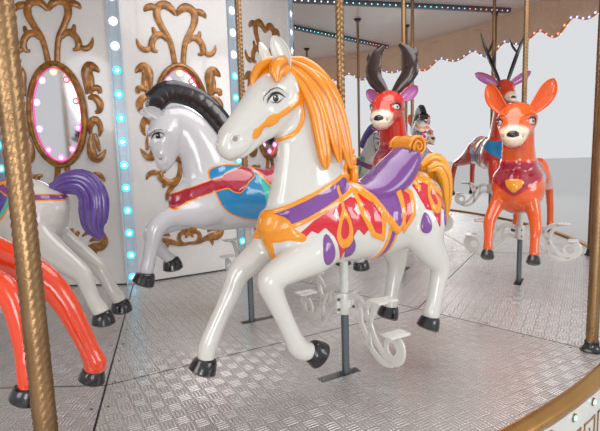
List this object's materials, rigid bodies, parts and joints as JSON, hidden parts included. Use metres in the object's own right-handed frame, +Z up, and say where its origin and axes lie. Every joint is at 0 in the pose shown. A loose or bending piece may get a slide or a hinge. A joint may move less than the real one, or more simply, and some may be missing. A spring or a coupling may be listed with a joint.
{
  "type": "fairground carousel",
  "caption": "Round fairground carousel with two rows of rising painted animals on brass poles, mirrored core, scalloped valance and conical roof.",
  "frame": {"origin": "ground level under the centre of the machine", "axes": "+Z up along the spin axis; the first outer seat stands at -60 degrees from +X, and the animals face clockwise seen from above"},
  "size_m": [10.94, 10.94, 5.9503],
  "materials": {
    "dark_steel": "painted dark steel",
    "tread_plate": "raised-pattern tread plate",
    "gold_trim": "gilt gloss trim",
    "fascia_paint": "white gloss fascia with bulbs and fret",
    "core_panel": "white gloss panels with gilt frames",
    "brass_post": "twisted brass posts and grey ribs",
    "ceiling_panel": "matt pale panels",
    "valance_board": "peach inside face of the rounding boards",
    "roof_cover": "tensioned roof cover",
    "brass_pole": "twisted brass sleeve with white footrest",
    "white_paint": "gloss-painted glass fibre",
    "grey_paint": "gloss-painted glass fibre",
    "orange_paint": "gloss-painted glass fibre",
    "coral_paint": "gloss-painted glass fibre",
    "red_paint": "gloss-painted glass fibre"
  },
  "bodies": {
    "base": {"base_frame": "dark_steel", "centre_column": "dark_steel"},
    "turntable": {"deck_frame": "dark_steel", "deck": "tread_plate", "rim_trim": "gold_trim", "fascia": "fascia_paint", "core_drum": "core_panel", "post_frame": "brass_post", "ceiling": "ceiling_panel", "valance": "valance_board", "roof": "roof_cover", "crown": "gold_trim"},
    "outer_seat_01": {"outer_pole_01": "brass_pole", "outer_horse_01": "white_paint"},
    "outer_seat_02": {"outer_pole_02": "brass_pole", "outer_fawn_02": "orange_paint"},
    "outer_seat_03": {"outer_pole_03": "brass_pole", "outer_stag_03": "coral_paint"},
    "outer_seat_04": {"outer_pole_04": "brass_pole", "outer_deer_04": "coral_paint"},
    "outer_seat_05": {"outer_pole_05": "brass_pole", "outer_horse_05": "white_paint"},
    "outer_seat_06": {"outer_pole_06": "brass_pole", "outer_fawn_06": "orange_paint"},
    "outer_seat_07": {"outer_pole_07": "brass_pole", "outer_stag_07": "coral_paint"},
    "outer_seat_08": {"outer_pole_08": "brass_pole", "outer_deer_08": "coral_paint"},
    "outer_seat_09": {"outer_pole_09": "brass_pole", "outer_horse_09": "white_paint"},
    "outer_seat_10": {"outer_pole_10": "brass_pole", "outer_fawn_10": "orange_paint"},
    "outer_seat_11": {"outer_pole_11": "brass_pole", "outer_stag_11": "coral_paint"},
    "outer_seat_12": {"outer_pole_12": "brass_pole", "outer_deer_12": "coral_paint"},
    "inner_seat_01": {"inner_pole_01": "brass_pole", "inner_horse_01": "grey_paint"},
    "inner_seat_02": {"inner_pole_02": "brass_pole", "inner_reindeer_02": "red_paint"},
    "inner_seat_03": {"inner_pole_03": "brass_pole", "inner_horse_03": "white_paint"},
    "inner_seat_04": {"inner_pole_04": "brass_pole", "inner_horse_04": "white_paint"},
    "inner_seat_05": {"inner_pole_05": "brass_pole", "inner_horse_05": "grey_paint"},
    "inner_seat_06": {"inner_pole_06": "brass_pole", "inner_reindeer_06": "red_paint"},
    "inner_seat_07": {"inner_pole_07": "brass_pole", "inner_horse_07": "white_paint"},
    "inner_seat_08": {"inner_pole_08": "brass_pole", "inner_horse_08": "white_paint"},
    "inner_seat_09": {"inner_pole_09": "brass_pole", "inner_horse_09": "grey_paint"},
    "inner_seat_10": {"inner_pole_10": "brass_pole", "inner_reindeer_10": "red_paint"},
    "inner_seat_11": {"inner_pole_11": "brass_pole", "inner_horse_11": "white_paint"},
    "inner_seat_12": {"inner_pole_12": "brass_pole", "inner_horse_12": "white_paint"}
  },
  "joints": [
    {"name": "spin", "type": "hinge", "parent": "base", "child": "turntable", "pos_m": [0, 0, 0.15], "axis": [0, 0, -1], "continuous": true},
    {"name": "outer_lift_01", "type": "slide", "parent": "turntable", "child": "outer_seat_01", "axis": [0, 0, 1], "range_m": [-0.1, 0.1]},
    {"name": "outer_lift_02", "type": "slide", "parent": "turntable", "child": "outer_seat_02", "axis": [0, 0, 1], "range_m": [-0.1, 0.1]},
    {"name": "outer_lift_03", "type": "slide", "parent": "turntable", "child": "outer_seat_03", "axis": [0, 0, 1], "range_m": [-0.1, 0.1]},
    {"name": "outer_lift_04", "type": "slide", "parent": "turntable", "child": "outer_seat_04", "axis": [0, 0, 1], "range_m": [-0.1, 0.1]},
    {"name": "outer_lift_05", "type": "slide", "parent": "turntable", "child": "outer_seat_05", "axis": [0, 0, 1], "range_m": [-0.1, 0.1]},
    {"name": "outer_lift_06", "type": "slide", "parent": "turntable", "child": "outer_seat_06", "axis": [0, 0, 1], "range_m": [-0.1, 0.1]},
    {"name": "outer_lift_07", "type": "slide", "parent": "turntable", "child": "outer_seat_07", "axis": [0, 0, 1], "range_m": [-0.1, 0.1]},
    {"name": "outer_lift_08", "type": "slide", "parent": "turntable", "child": "outer_seat_08", "axis": [0, 0, 1], "range_m": [-0.1, 0.1]},
    {"name": "outer_lift_09", "type": "slide", "parent": "turntable", "child": "outer_seat_09", "axis": [0, 0, 1], "range_m": [-0.1, 0.1]},
    {"name": "outer_lift_10", "type": "slide", "parent": "turntable", "child": "outer_seat_10", "axis": [0, 0, 1], "range_m": [-0.1, 0.1]},
    {"name": "outer_lift_11", "type": "slide", "parent": "turntable", "child": "outer_seat_11", "axis": [0, 0, 1], "range_m": [-0.1, 0.1]},
    {"name": "outer_lift_12", "type": "slide", "parent": "turntable", "child": "outer_seat_12", "axis": [0, 0, 1], "range_m": [-0.1, 0.1]},
    {"name": "inner_lift_01", "type": "slide", "parent": "turntable", "child": "inner_seat_01", "axis": [0, 0, 1], "range_m": [-0.1, 0.1]},
    {"name": "inner_lift_02", "type": "slide", "parent": "turntable", "child": "inner_seat_02", "axis": [0, 0, 1], "range_m": [-0.1, 0.1]},
    {"name": "inner_lift_03", "type": "slide", "parent": "turntable", "child": "inner_seat_03", "axis": [0, 0, 1], "range_m": [-0.1, 0.1]},
    {"name": "inner_lift_04", "type": "slide", "parent": "turntable", "child": "inner_seat_04", "axis": [0, 0, 1], "range_m": [-0.1, 0.1]},
    {"name": "inner_lift_05", "type": "slide", "parent": "turntable", "child": "inner_seat_05", "axis": [0, 0, 1], "range_m": [-0.1, 0.1]},
    {"name": "inner_lift_06", "type": "slide", "parent": "turntable", "child": "inner_seat_06", "axis": [0, 0, 1], "range_m": [-0.1, 0.1]},
    {"name": "inner_lift_07", "type": "slide", "parent": "turntable", "child": "inner_seat_07", "axis": [0, 0, 1], "range_m": [-0.1, 0.1]},
    {"name": "inner_lift_08", "type": "slide", "parent": "turntable", "child": "inner_seat_08", "axis": [0, 0, 1], "range_m": [-0.1, 0.1]},
    {"name": "inner_lift_09", "type": "slide", "parent": "turntable", "child": "inner_seat_09", "axis": [0, 0, 1], "range_m": [-0.1, 0.1]},
    {"name": "inner_lift_10", "type": "slide", "parent": "turntable", "child": "inner_seat_10", "axis": [0, 0, 1], "range_m": [-0.1, 0.1]},
    {"name": "inner_lift_11", "type": "slide", "parent": "turntable", "child": "inner_seat_11", "axis": [0, 0, 1], "range_m": [-0.1, 0.1]},
    {"name": "inner_lift_12", "type": "slide", "parent": "turntable", "child": "inner_seat_12", "axis": [0, 0, 1], "range_m": [-0.1, 0.1]}
  ],
  "couplings": [
    {"joint": "outer_lift_02", "follows": "outer_lift_01", "ratio": -1},
    {"joint": "outer_lift_03", "follows": "outer_lift_01", "ratio": 1},
    {"joint": "outer_lift_04", "follows": "outer_lift_01", "ratio": -1},
    {"joint": "outer_lift_05", "follows": "outer_lift_01", "ratio": 1},
    {"joint": "outer_lift_06", "follows": "outer_lift_01", "ratio": -1},
    {"joint": "outer_lift_07", "follows": "outer_lift_01", "ratio": 1},
    {"joint": "outer_lift_08", "follows": "outer_lift_01", "ratio": -1},
    {"joint": "outer_lift_09", "follows": "outer_lift_01", "ratio": 1},
    {"joint": "outer_lift_10", "follows": "outer_lift_01", "ratio": -1},
    {"joint": "outer_lift_11", "follows": "outer_lift_01", "ratio": 1},
    {"joint": "outer_lift_12", "follows": "outer_lift_01", "ratio": -1},
    {"joint": "inner_lift_01", "follows": "outer_lift_01", "ratio": -1},
    {"joint": "inner_lift_02", "follows": "outer_lift_01", "ratio": 1},
    {"joint": "inner_lift_03", "follows": "outer_lift_01", "ratio": -1},
    {"joint": "inner_lift_04", "follows": "outer_lift_01", "ratio": 1},
    {"joint": "inner_lift_05", "follows": "outer_lift_01", "ratio": -1},
    {"joint": "inner_lift_06", "follows": "outer_lift_01", "ratio": 1},
    {"joint": "inner_lift_07", "follows": "outer_lift_01", "ratio": -1},
    {"joint": "inner_lift_08", "follows": "outer_lift_01", "ratio": 1},
    {"joint": "inner_lift_09", "follows": "outer_lift_01", "ratio": -1},
    {"joint": "inner_lift_10", "follows": "outer_lift_01", "ratio": 1},
    {"joint": "inner_lift_11", "follows": "outer_lift_01", "ratio": -1},
    {"joint": "inner_lift_12", "follows": "outer_lift_01", "ratio": 1}
  ]
}
